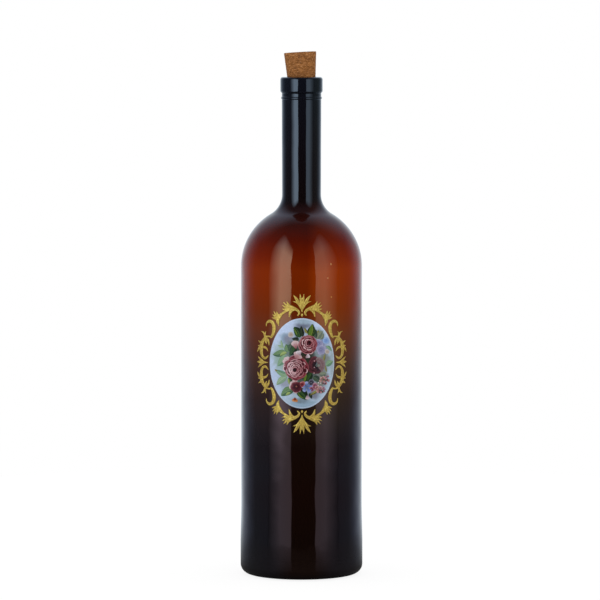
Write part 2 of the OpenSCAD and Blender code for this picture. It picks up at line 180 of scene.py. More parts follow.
bottle = spun_piece("blown_glass_bottle", outside + inside, turn_steps)
bpy.ops.object.shade_smooth_by_angle(angle=math.radians(40))


def new_finish(name, roughness, **sockets):
    """A material with one main shader. Returns it, its node tree and the shader."""
    finish = bpy.data.materials.new(name)
    finish.use_nodes = True
    shader = finish.node_tree.nodes["Principled BSDF"]
    shader.inputs["Roughness"].default_value = roughness
    for socket, value in sockets.items():
        shader.inputs[socket.replace("_", " ")].default_value = value
    return finish, finish.node_tree, shader


def add_node(tree, kind, inputs=None, **settings):
    """A node with its settings, its inputs given as values or linked from other sockets."""
    node = tree.nodes.new("ShaderNode" + kind)
    for setting, value in settings.items():
        setattr(node, setting, value)
    for socket, value in (inputs or {}).items():
        if isinstance(value, bpy.types.NodeSocket):
            tree.links.new(value, node.inputs[socket])
        else:
            node.inputs[socket].default_value = value
    return node


def colour_ramp(tree, factor, stops):
    """A colour ramp through the given (place, colour) stops. Returns its colour socket."""
    ramp = add_node(tree, "ValToRGB", {"Fac": factor})
    elements = ramp.color_ramp.elements
    while len(elements) < len(stops):
        elements.new(1)
    for element, (place, colour) in zip(elements, stops):
        element.position = place
        element.color = (*colour, 1)
    return ramp.outputs["Color"]


def object_place(tree):
    """The place of a point on the piece, in metres."""
    return add_node(tree, "TexCoord").outputs["Object"]


def cloudy(tree, place, scale, detail=2.0, roughness=0.5):
    """Soft noise from 0 to 1, with about scale clouds to the metre."""
    inputs = {"Vector": place, "Scale": scale, "Detail": detail, "Roughness": roughness}
    return add_node(tree, "TexNoise", inputs).outputs[0]


def remap(tree, value, start, end, low=0.0, high=1.0):
    """What runs from start to end becomes low to high, and stays within them."""
    inputs = {"Value": value, "From Min": start, "From Max": end, "To Min": low, "To Max": high}
    return add_node(tree, "MapRange", inputs).outputs[0]


def math_node(tree, operation, first, second):
    """Two numbers joined by an operation such as ADD or MULTIPLY."""
    return add_node(tree, "Math", {0: first, 1: second}, operation=operation).outputs[0]


def mixed(tree, share, first, second, way="MIX"):
    """The first colour with the second laid over it by share."""
    inputs = {0: share, 6: first, 7: second}
    return add_node(tree, "Mix", inputs, data_type="RGBA", blend_type=way).outputs[2]


def emboss(tree, shader, height, strength, depth):
    """The shader's surface rises by up to depth where height is greater."""
    inputs = {"Height": height, "Strength": strength, "Distance": depth}
    tree.links.new(add_node(tree, "Bump", inputs).outputs[0], shader.inputs["Normal"])


# The finish on it is a sprayed lacquer: blue-black on the neck, clear amber on the shoulder and
# brown-black below. The spray drifts a little in level. Painted light makes it lighter at the
# sides, most on the right, and darker in the middle.
spray_drift = 7 * mm
glass_waver = 0.35 * mm
lacquer, tree, shader = new_finish("sprayed_lacquer", 0.055, IOR=1.5)
place = object_place(tree)
split = add_node(tree, "SeparateXYZ", {"Vector": place})
drift = remap(tree, cloudy(tree, place, 22.0), 0.0, 1.0, -spray_drift, spray_drift)
height = math_node(tree, "ADD", split.outputs["Z"], drift)
level = remap(tree, height, 0.0, bottle_h)
fade = [
    (0.00, (0.0080, 0.0040, 0.0035)),
    (0.17, (0.0110, 0.0035, 0.0030)),
    (0.27, (0.0110, 0.0045, 0.0040)),
    (0.36, (0.022, 0.012, 0.011)),
    (0.43, (0.046, 0.020, 0.014)),
    (0.49, (0.090, 0.022, 0.010)),
    (0.54, (0.126, 0.017, 0.002)),
    (0.59, (0.155, 0.016, 0.0005)),
    (0.62, (0.160, 0.016, 0.0005)),
    (0.65, (0.112, 0.008, 0.0005)),
    (0.68, (0.066, 0.004, 0.0005)),
    (0.72, (0.026, 0.003, 0.001)),
    (0.755, (0.006, 0.003, 0.003)),
    (1.00, (0.005, 0.006, 0.011)),
]
# Painted light: across the body the colour is raised at the sides, most on the right, and lowered in
# the middle
side = remap(tree, split.outputs["X"], -body_r, body_r)
spread = colour_ramp(tree, side, [
    (0.20, (1.2, 1.2, 1.2)),
    (0.40, (0.9, 0.9, 0.9)),
    (0.54, (0.9, 0.9, 0.9)),
    (0.64, (1.45, 1.7, 1.0)),
    (0.74, (1.5, 1.8, 1.0)),
    (0.86, (1.35, 1.4, 1.0)),
    (1.00, (1.30, 1.25, 1.05)),
])
# Low down the flanks turn blue-black and only the middle stays brown
flanks = colour_ramp(tree, side, [
    (0.00, (0.9, 2.6, 3.8)),
    (0.28, (0.9, 2.2, 3.4)),
    (0.42, (0.9, 0.9, 0.6)),
    (0.60, (0.9, 0.9, 0.6)),
    (0.76, (1.0, 2.2, 3.4)),
    (1.00, (1.1, 2.8, 4.2)),
])
low = remap(tree, level, 0.36, 0.22)
across = mixed(tree, low, spread, flanks)
sprayed = mixed(tree, 1.0, colour_ramp(tree, level, fade), across, "MULTIPLY")
tree.links.new(sprayed, shader.inputs["Base Color"])
gloss = [
    (0.40, (0.95, 0.57, 0.52)),
    (0.52, (1.00, 0.58, 0.28)),
    (0.66, (1.00, 0.60, 0.33)),
    (0.73, (0.60, 0.64, 0.64)),
]
tree.links.new(colour_ramp(tree, level, gloss), shader.inputs["Specular Tint"])
# Blown glass is never quite true, so the light on it wavers a little
emboss(tree, shader, cloudy(tree, place, 55.0, 1.0), 1.0, glass_waver)
bottle.data.materials.append(lacquer)
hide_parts("glass_bottle")
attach(bottle, "bottle")


# Seeds: three bubbles trapped in the glass, which raise low blisters on the right of the
# shoulder. They are part of the wall, so they are made of it and ride with it. Each is
# flattened against the wall, drawn out upwards and tapered there.
seed_spots = [(20.0, 219.9, 0.6), (17.9, 210.3, 0.45), (20.3, 197.1, 0.5)]
seed_taper = 0.25
seed_flat = 0.6
seed_tall = 1.35
seeds = []
for across, up, size in seed_spots:
    level_r = math.sqrt(body_r**2 - max(up * mm - body_h, 0) ** 2)
    turn = math.asin(across * mm / level_r)
    deselect_all()
    bpy.ops.mesh.primitive_uv_sphere_add(segments=20, ring_count=12, radius=size * mm)
    seed = new_piece("glass_seed")
    for vertex in seed.data.vertices:
        taper = 1 - seed_taper * vertex.co.z / (size * mm)
        x, y, z = vertex.co
        vertex.co = (x * taper, seed_flat * y * taper, seed_tall * z)
    seed.data.transform(Matrix.Translation((0, -level_r, 0)))
    seed.data.transform(Matrix.Rotation(turn, 4, "Z"))
    seed.data.transform(Matrix.Translation((0, 0, up * mm)))
    seeds.append(seed)
for seed in seeds:
    seed.select_set(True)
bpy.ops.object.join()
blisters = new_piece("glass_seeds")
bpy.ops.object.shade_smooth()
# The blisters are amber lightened by a painted glint, the bright speck that light makes in a bubble
amber, tree, shader = new_finish("amber_with_painted_glint", 0.08, IOR=1.5)
mottle = cloudy(tree, object_place(tree), 900.0)
seed_tone_and_glint = colour_ramp(tree, mottle, [(0.3, (0.30, 0.09, 0.01)), (0.7, (0.46, 0.18, 0.04))])
tree.links.new(seed_tone_and_glint, shader.inputs["Base Color"])
blisters.data.materials.append(amber)
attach(blisters, "bottle")


# The cork: one tapered stopper of pressed cork grain, turned and bevelled, that leans a
# little in the mouth. Its grain and pits are pushed into the mesh.
cork_top_r = 11.3 * mm
cork_foot_r = 8.8 * mm
cork_h = 32 * mm
cork_bevel = 0.6 * mm
cork_below = 13.7 * mm
cork_tilt = math.radians(3.2)
seat_z = 347.2 * mm
grain_size = 1.1 * mm
grain_depth = 0.05 * mm
chip_size = 2.6 * mm
chip_flat = 1.8
crack_w = 0.16
crack_depth = 0.07 * mm
pit_size = 1.7 * mm
pit_from = 0.34
pit_slope = 0.3
pit_depth = 0.45 * mm

cork_section = line((0, 0), (cork_foot_r - cork_bevel, 0), 14)
cork_section += arc((cork_foot_r - cork_bevel, cork_bevel), cork_bevel, -90, 0, 4)[1:]
cork_section += line((cork_foot_r, cork_bevel), (cork_top_r, cork_h - cork_bevel), 64)
cork_section += arc((cork_top_r - cork_bevel, cork_h - cork_bevel), cork_bevel, 0, 90, 4)[1:]
cork_section += line((cork_top_r - cork_bevel, cork_h), (0, cork_h), 20)
cork = spun_piece("pressed_cork_stopper", [(0, 0)] + cork_section, 128)

# The surface is lower between the pressed chips, and a pit opens where one broke out
normals = [vertex.normal.copy() for vertex in cork.data.vertices]
for vertex, normal in zip(cork.data.vertices, normals):
    spot = Vector((vertex.co.x, vertex.co.y, chip_flat * vertex.co.z))
    grain = noise.fractal(spot / grain_size, 1.0, 2.0, 3)
    edge = noise.voronoi(spot / chip_size)[0]
    crack = max(0.0, 1 - (edge[1] - edge[0]) / crack_w)
    pit = max(0.0, noise.noise(spot / pit_size + Vector((7, 3, 5))) - pit_from) / pit_slope
    sink = grain_depth * (1 + grain) + crack_depth * crack + pit_depth * min(1.0, pit)
    vertex.co -= normal * sink
cork.data.transform(Matrix.Translation((0, 0, -cork_below)))
cork.data.transform(Matrix.Rotation(-cork_tilt, 4, "Y"))
cork.data.transform(Matrix.Translation((0, 0, seat_z)))
bpy.ops.object.shade_smooth()

cork_finish, tree, shader = new_finish("pressed_cork", 0.8, Specular_IOR_Level=0.1)
squeeze = {"Vector": object_place(tree), "Scale": (1.0, 1.0, 2.0)}
squeezed = add_node(tree, "Mapping", squeeze).outputs[0]
grain = cloudy(tree, squeezed, 620.0, 5.0, 0.65)
tan = colour_ramp(tree, grain, [
    (0.30, (0.086, 0.027, 0.005)),
    (0.45, (0.200, 0.077, 0.016)),
    (0.58, (0.312, 0.132, 0.042)),
    (0.72, (0.450, 0.235, 0.110)),
])
chips = add_node(tree, "TexVoronoi", {"Vector": squeezed, "Scale": 380.0})
chip_tones = [(0.2, (0.84, 0.80, 0.74)), (0.8, (1.12, 1.12, 1.10))]
pressed = mixed(
    tree, 1.0, tan, colour_ramp(tree, chips.outputs["Color"], chip_tones), "MULTIPLY"
)
# Dark flecks of bark lie in the gaps of the grain
bark = colour_ramp(tree, cloudy(tree, squeezed, 780.0, 1.0), [(0.30, (1, 1, 1)), (0.36, (0, 0, 0))])
flecked = mixed(tree, bark, pressed, (0.060, 0.022, 0.008, 1))
tree.links.new(flecked, shader.inputs["Base Color"])
emboss(tree, shader, grain, 0.35, 0.3 * mm)
cork.data.materials.append(cork_finish)
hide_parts("cork_stopper")
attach(cork, "cork")


# The medallion's ground: an oval of pale blue enamel, fired on to the body, with soft washes
# of colour behind the bouquet. Everything printed is drawn flat, in millimetres across and up
# from the oval's centre and above the glass, and is then laid round the body.
medallion_z = 151.5 * mm
oval_w = 46.8
oval_h = 62.6
film_t = 0.03
film_weld = 0.0005
# Heights above the glass: each print lies over the one before
oval_rise = 0.14
leaf_rise = 0.19
flower_rise = 0.27
rose_rise = 0.36


def enamel_patch(name, columns, rows, shape, paint):
    """A grid placed by shape(u, v) -> (across, up, height), coloured by paint(u, v)."""
    bpy.ops.mesh.primitive_grid_add(x_subdivisions=columns, y_subdivisions=rows, size=1)
    patch = new_piece(name)
    colours = patch.data.color_attributes.new(name="paint", type="FLOAT_COLOR", domain="POINT")
    for vertex, colour in zip(patch.data.vertices, colours.data):
        u, v = vertex.co.x + 0.5, vertex.co.y + 0.5
        vertex.co = shape(u, v)
        colour.color = (*paint(u, v), 1)
    return patch


def fire_on(patches, name, finish, node, thickness=film_t):
    """Joins flat patches, gives them a thickness and lays them round the body as one piece."""
    deselect_all()
    for patch in patches:
        patch.select_set(True)
        # A flat patch that came out face down is turned over before it is thickened
        if thickness and sum(polygon.normal.z for polygon in patch.data.polygons) < 0:
            patch.data.flip_normals()
    bpy.context.view_layer.objects.active = patches[0]
    if len(patches) > 1:
        bpy.ops.object.join()
    piece = new_piece(name)
    bpy.ops.object.mode_set(mode="EDIT")
    bpy.ops.mesh.select_all(action="SELECT")
    bpy.ops.mesh.remove_doubles(threshold=film_weld)
    if not thickness:
        bpy.ops.mesh.normals_make_consistent(inside=False)
    bpy.ops.object.mode_set(mode="OBJECT")
    if thickness:
        solidify = piece.modifiers.new("thickness", "SOLIDIFY")
        solidify.thickness = thickness
        solidify.offset = -1
        bpy.ops.object.modifier_apply(modifier=solidify.name)
    for vertex in piece.data.vertices:
        across, up, height = vertex.co
        turn = across * mm / body_r
        reach = body_r + height * mm
        vertex.co = (reach * math.sin(turn), -reach * math.cos(turn), medallion_z + up * mm)
    bpy.ops.object.shade_smooth_by_angle(angle=math.radians(50))
    piece.data.materials.append(finish)
    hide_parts(node)
    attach(piece, "bottle")


def worn_paint(tree, shader, speck, stops):
    """The shader shows the colour painted on the mesh, mottled by speck through the stops."""
    painted = add_node(tree, "VertexColor", layer_name="paint").outputs["Color"]
    worn = mixed(tree, 1.0, painted, colour_ramp(tree, speck, stops), "MULTIPLY")
    tree.links.new(worn, shader.inputs["Base Color"])


def enamel(name):
    """Fired enamel: the colour painted on the mesh, under a thin uneven gloss."""
    finish, tree, shader = new_finish(name, 0.3, Specular_IOR_Level=0.2)
    speck = cloudy(tree, object_place(tree), 1500.0)
    worn_paint(tree, shader, speck, [(0.3, (0.90, 0.90, 0.90)), (0.7, (1.06, 1.06, 1.06))])
    emboss(tree, shader, speck, 0.2, 0.05 * mm)
    return finish


def blend(first, second, share):
    """Two colours mixed by share."""
    return tuple(a + (b - a) * share for a, b in zip(first, second))


def ease(low, high, value):
    """0 below low, 1 above high and smooth between."""
    share = min(1.0, max(0.0, (value - low) / (high - low)))
    return share * share * (3 - 2 * share)


# Washes of thin colour in the ground: across, up, half width, half height, colour, strength
washes = [
    (0, -31, 17, 9, (0.24, 0.35, 0.47), 1.0),
    (2, 30, 10, 6, (0.26, 0.35, 0.44), 0.9),
    (23, 1, 5, 16, (0.27, 0.33, 0.36), 0.8),
    (0, 0, 23, 31, (0.20, 0.27, 0.23), 0.6),
    (-15, 4, 8, 13, (0.20, 0.30, 0.22), 0.8),
    (-12, 17.5, 5, 5, (0.13, 0.20, 0.26), 0.8),
    (-9, 16, 5, 6, (0.17, 0.16, 0.22), 0.8),
    (-12, -14, 6, 5, (0.21, 0.21, 0.28), 0.75),
    (12, 13, 6, 6, (0.17, 0.17, 0.28), 0.9),
    (15, 9, 6, 6, (0.19, 0.19, 0.28), 0.9),
    (16.9, 15.6, 4, 3.4, (0.12, 0.20, 0.42), 0.9),
    (12, 20, 5, 5, (0.12, 0.16, 0.11), 0.85),
    (16, 2, 6, 8, (0.14, 0.15, 0.12), 0.85),
    (14, -9, 7, 9, (0.14, 0.13, 0.11), 0.9),
    (12.5, -15, 5, 4.5, (0.15, 0.14, 0.14), 0.85),
    (8, -22, 6.5, 4.2, (0.14, 0.14, 0.19), 0.85),
    (0.5, 25.8, 8, 2.4, (0.09, 0.10, 0.15), 0.85),
    (-1, -26.0, 8, 2.4, (0.11, 0.15, 0.18), 0.65),
    (-9, 9, 5, 8, (0.09, 0.14, 0.10), 0.9),
    (1, 1, 13, 25, (0.050, 0.060, 0.040), 1.0),
    (2, 0, 11, 22, (0.022, 0.026, 0.014), 1.0),
]


def oval_shape(u, v):
    """The oval as rings from its centre, with an edge that rounds down."""
    turn = math.tau * v
    rim = 1 - 0.05 * ease(0.97, 1.0, u)
    height = oval_rise * rim - 0.05 * ease(0.985, 1.0, u)
    return (oval_w / 2 * u * math.cos(turn), oval_h / 2 * u * math.sin(turn), height)


def oval_paint(u, v):
    """Pale blue with painted light, brightest at the upper left, with the washes laid in it and a
    paler rim that is a painted highlight.
    """
    across, up, _ = oval_shape(u, v)
    drift = noise.noise(Vector((across / 5, up / 5, 0)))
    # Painted light: the blue turns paler towards the upper left, as if lit from there
    colour = blend((0.35, 0.45, 0.56), (0.43, 0.52, 0.70), ease(-20, 20, up - across + 14 * drift))
    for place_x, place_y, half_w, half_h, wash, strength in washes:
        ragged = 1 + 0.35 * noise.noise(Vector((across / 2.6, up / 2.6, place_x)))
        reach = ragged * math.hypot((across - place_x) / half_w, (up - place_y) / half_h)
        colour = blend(colour, wash, strength * (1 - ease(0.3, 1.0, reach)))
    # Painted highlight: a paler rim round the edge of the oval
    return blend(colour, (0.47, 0.56, 0.68), 0.6 * ease(0.965, 0.985, u))


deselect_all()
ground = enamel_patch("oval_ground", 56, 120, oval_shape, oval_paint)
fire_on(
    [ground], "oval_ground", enamel("ground_enamel"), "medallion_ground", 0.1
)


# The gilding: scrolls and leaves of fired gold round the oval, in four groups of their own.
# Each stroke is a low ridge that swells and tapers like a brush stroke, with a vein pressed in.
gold_rise = 0.3
stroke_steps = 5
ridge = [
    (-1.0, 0.0), (-0.86, 0.5), (-0.52, 0.92), (-0.2, 0.86), (0.0, 0.7),
    (0.2, 0.86), (0.52, 0.92), (0.86, 0.5), (1.0, 0.0), (-1.0, 0.0),
]
# The edges of each stroke are darker: painted shade where its ridge falls away, over the brown outline
# of the print
gold_edge_and_shade = (0.15, 0.075, 0.012)
gold_face = (0.50, 0.335, 0.064)
gold_vein = (0.22, 0.110, 0.018)
# The lightest gold, laid in scattered flecks, is a painted glint
gold_painted_glint = (0.72, 0.56, 0.125)


def smooth_run(knots):
    """A smooth curve through the given knots, each (across, up, half width)."""
    first = [2 * a - b for a, b in zip(knots[0], knots[1])]
    last = [2 * a - b for a, b in zip(knots[-1], knots[-2])]
    path = [first, *knots, last]
    run = []
    for a, b, c, d in zip(path, path[1:], path[2:], path[3:]):
        for step in range(stroke_steps):
            u = step / stroke_steps
            run.append([
                q + (r - p) * u / 2 + (2 * p - 5 * q + 4 * r - t) * u * u / 2
                + (3 * q - p - 3 * r + t) * u**3 / 2
                for p, q, r, t in zip(a, b, c, d)
            ])
    run.append(list(knots[-1]))
    return run


def gold_stroke(knots, origin, flip_x, flip_y):
    """One stroke of the gilding, mirrored where flip is -1, ending in a point at both ends."""
    run = smooth_run(knots)
    ahead = [
        Vector((b[0] - a[0], b[1] - a[1])).normalized()
        for a, b in zip([run[0]] + run[:-1], run[1:] + [run[-1]])
    ]
    start = [run[0][0] - ahead[0].x * run[0][2], run[0][1] - ahead[0].y * run[0][2], 0]
    end = [run[-1][0] + ahead[-1].x * run[-1][2], run[-1][1] + ahead[-1].y * run[-1][2], 0]
    run = [start] + run + [end]
    ahead = [ahead[0]] + ahead + [ahead[-1]]
    columns, rows = len(run) - 1, len(ridge) - 1

    def shape(u, v):
        point, way = run[round(u * columns)], ahead[round(u * columns)]
        side, rise = ridge[round(v * rows)]
        across = origin[0] + point[0] - way.y * side * point[2]
        up = origin[1] + point[1] + way.x * side * point[2]
        height = rise * gold_rise * min(1.0, 0.35 + 0.6 * point[2]) * (point[2] > 0)
        return (flip_x * across, flip_y * up, height)

    def paint(u, v):
        side = abs(ridge[round(v * rows)][0])
        width = run[round(u * columns)][2]
        spot = shape(u, v)
        # Painted glints: the gold turns lighter in random flecks
        glint_fleck = noise.noise(Vector((spot[0] / 0.9, spot[1] / 0.9, 3)))
        colour = blend(gold_face, gold_painted_glint, ease(-0.2, 0.6, glint_fleck))
        colour = blend(colour, gold_vein, (1 - ease(0.0, 0.2, side)) * ease(0.4, 0.9, width))
        # Darker at the edges: painted shade, with the print's brown outline
        return blend(colour, gold_edge_and_shade, ease(0.7, 1.0, side))

    return enamel_patch("gold_stroke", columns, rows, shape, paint)


gilding, tree, shader = new_finish(
    "fired_gilding", 0.42, Metallic=0.3, Specular_Tint=(1.0, 0.72, 0.30, 1)
)
rub = cloudy(tree, object_place(tree), 900.0, 3.0)
worn_paint(tree, shader, rub, [(0.32, (0.72, 0.68, 0.60)), (0.55, (1.0, 1.0, 1.0))])

# The palmette in the middle of a crest, from the oval's edge: its right half, and its stem
palmette_half = [
    [(0.2, 9, 0.9), (0.9, 13, 0.8), (1.3, 16.7, 0.15)],
    [(0.3, 6.6, 0.8), (2.6, 11.1, 1.2), (4.4, 14, 0.9), (5.9, 15.9, 0.15)],
    [(0.6, 7.4, 0.7), (2.6, 9.9, 0.7), (4.2, 11.1, 0.5), (6.3, 11.6, 0.12)],
]
palmette_stem = [(0, 4.4, 0.4), (0, 6.2, 0.8), (0, 9.6, 1.9), (0, 14, 0.4)]
crest_bead = [(0, 1.6, 0.6), (0, 2.2, 0.8), (0, 2.8, 0.6)]
palmette_h = 16.7

# Right half of a crest: the arm, from its curl beside the bead to its leaves, then the
# branch and the tips of its corner leaf
crest_half = [
    [(3, 1.9, 0.4), (2, 3.6, 0.8), (3.4, 5.7, 1), (6.8, 7.1, 1.5), (9.2, 8.6, 1.2), (10.6, 11.5, 0.15)],
    [(7.8, 7, 1.2), (11, 8.9, 0.8), (13, 11, 0.12)],
    [(7.4, 6.9, 1.2), (11.4, 7.5, 0.8), (13.9, 8.9, 0.12)],
    [(8, 6.4, 1.1), (12, 5.9, 0.8), (14.1, 6.5, 0.12)],
    [(5.6, 6.4, 1.1), (7.9, 4.7, 1.2), (9.1, 0.6, 0.15)],
    [(8.4, 6.4, 1), (13.4, 3.4, 0.9), (15.7, 1.2, 1.5), (17.4, -1.2, 1.6)],
    [(15.8, 0.6, 1.3), (17.4, 2.4, 0.9), (18.1, 4.7, 0.12)],
    [(16, 0.4, 1.4), (18.8, 2.2, 0.8), (20.3, 4.5, 0.12)],
    [(16.2, 0, 1.4), (19.3, 1, 0.8), (21.3, 2.5, 0.12)],
    [(16.4, -0.6, 1.4), (19.4, -0.4, 0.9), (21.8, 0.1, 0.12)],
    [(16.8, 0.6, 1.5), (17.2, -2.4, 1.4), (16.4, -5.5, 0.15)],
]
crest_foot = (0, oval_h / 2)
# Name, replaced node, flip and height of the palmette: the one below hangs lower
crests = [
    ("gilt_crest_top", "gold_crest_top", 1, palmette_h),
    ("gilt_crest_bottom", "gold_crest_bottom", -1, 17.7),
]
for name, node, flip, tall in crests:
    stretch = tall / palmette_h
    stem = [(x, y * stretch, w) for x, y, w in palmette_stem]
    strokes = [gold_stroke(crest_bead, crest_foot, 1, flip)]
    for knots in crest_half:
        strokes += [gold_stroke(knots, crest_foot, side, flip) for side in (1, -1)]
    for knots in palmette_half:
        knots = [(x, y * stretch, w) for x, y, w in knots]
        strokes += [gold_stroke(knots, crest_foot, side, flip) for side in (1, -1)]
    strokes.append(gold_stroke(stem, crest_foot, 1, flip))
    fire_on(strokes, name, gilding, node, 0)

# Upper half of the chain beside the oval, from the end of its width: C-scroll, joint, stem,
# hooks and leaves
chain_half = [
    [(3, 25.2, 0.3), (2.5, 27.4, 0.7), (0.3, 28.8, 1.1), (-2.1, 27.9, 1.3), (-3.3, 25.3, 1.5),
     (-3.2, 22.2, 1.4), (-2.1, 19.2, 1.1), (-1, 17.5, 0.7)],
    [(-1.4, 17.7, 0.6), (0.8, 18.2, 0.6), (3.4, 17.6, 0.8)],
    [(3.4, 16.8, 0.7), (4.3, 19, 0.9), (5.6, 20.8, 0.6), (7.4, 21.5, 0.12)],
    [(4.4, 18, 0.7), (3.8, 20.2, 0.5), (3.2, 21.6, 0.12)],
    [(3, 18, 0.8), (5.1, 15.7, 1.2), (6.8, 12.9, 1.6), (7.4, 9.3, 1.6), (7.1, 5.8, 1.3),
     (5.8, 3.6, 1), (4, 2.9, 0.9), (2.5, 3.6, 0.7), (1.3, 4.9, 0.2)],
    [(4.4, 16.4, 0.8), (2.2, 16, 1.1), (1, 14.4, 0.8), (0.6, 12, 0.15)],
    [(4, 16, 0.8), (3.3, 14.4, 0.8), (2.5, 12.9, 0.15)],
    [(7, 10.6, 1), (4.4, 10.5, 0.9), (2.7, 9.7, 0.7), (1.5, 7.9, 0.15)],
    [(6, 13.6, 1.2), (8.4, 13.9, 0.8), (10.1, 14.8, 0.12)],
    [(6.8, 11.8, 1.2), (8.8, 11.2, 0.8), (10.4, 11.4, 0.12)],
    [(7, 10.2, 1.2), (9.6, 9.3, 0.9), (11.1, 6.9, 0.15)],
    [(5.6, 0.2, 1), (8.1, 1.9, 0.9), (10.5, 3.9, 0.12)],
]
chain_middle = [
    [(1.7, 0, 0.2), (4.8, 0, 0.9), (7.4, 0, 1.6)],
    [(6, 0, 1.4), (9.2, 0, 1), (11.4, 0, 0.12)],
]
chain_foot = (oval_w / 2, 0)
for name, node, side in [
    ("gilt_chain_right", "gold_chain_right", 1),
    ("gilt_chain_left", "gold_chain_left", -1),
]:
    strokes = [gold_stroke(knots, chain_foot, side, 1) for knots in chain_middle]
    for knots in chain_half:
        strokes += [gold_stroke(knots, chain_foot, side, flip) for flip in (1, -1)]
    fire_on(strokes, name, gilding, node, 0)


# The leaves of the bouquet: printed in greens, crisp near the roses and faded at the left.
# Each has a lit half and a dark half, with a pale rib and side veins.
greens = {
    "deep": ((0.004, 0.016, 0.004), (0.018, 0.058, 0.012), (0.060, 0.120, 0.030)),
    "bright": ((0.006, 0.028, 0.003), (0.075, 0.150, 0.012), (0.240, 0.290, 0.030)),
    "fresh": ((0.030, 0.085, 0.034), (0.100, 0.190, 0.070), (0.200, 0.290, 0.110)),
    "faded": ((0.085, 0.190, 0.105), (0.165, 0.285, 0.150), (0.280, 0.390, 0.250)),
    "pale": ((0.150, 0.250, 0.150), (0.235, 0.340, 0.200), (0.360, 0.440, 0.310)),
    "spring": ((0.140, 0.200, 0.040), (0.250, 0.330, 0.080), (0.380, 0.430, 0.180)),
    "grey": ((0.090, 0.120, 0.085), (0.160, 0.190, 0.120), (0.260, 0.270, 0.170)),
    "shade": ((0.016, 0.032, 0.018), (0.045, 0.075, 0.040), (0.100, 0.140, 0.080)),
    "dark": ((0.006, 0.009, 0.005), (0.016, 0.030, 0.012), (0.060, 0.085, 0.050)),
    "olive": ((0.080, 0.075, 0.014), (0.210, 0.190, 0.035), (0.380, 0.350, 0.100)),
}


def leaf(root, tip, half_w, bend, green, layer):
    """A leaf from root to tip that bends to one side, one half darker than the other."""
    root, tip = Vector(root), Vector(tip)
    along = tip - root
    sideways = Vector((-along.y, along.x)).normalized()
    dark, light, rib = greens[green]

    def shape(u, v):
        side = 2 * v - 1
        swell = half_w * math.sin(math.pi * u**0.8) ** 0.75 if 0 < u < 1 else 0.04
        spot = root + along * u + sideways * (bend * math.sin(math.pi * u) + side * swell)
        height = leaf_rise + 0.012 * layer + 0.04 * (abs(side) - side * side) * math.sin(math.pi * u)
        return (spot.x, spot.y, height)

    def paint(u, v):
        side = 2 * v - 1
        spot = shape(u, v)
        fleck = noise.noise(Vector((spot[0] / 1.2, spot[1] / 1.2, 9)))
        lit = ease(-0.3, 0.35, side * (1 if sideways.x < 0 else -1) + 0.5 * fleck)
        colour = blend(dark, light, lit)
        veins = math.sin((u * 1.2 - 0.35 * abs(side)) * math.tau * 4)
        colour = blend(colour, rib, 0.35 * ease(0.55, 1.0, veins) * (1 - u))
        colour = blend(colour, rib, 0.6 * (1 - ease(0.05, 0.22, abs(side))))
        return blend(colour, dark, 0.6 * ease(0.75, 1.0, abs(side)))

    return enamel_patch("leaf", 10, 8, shape, paint)


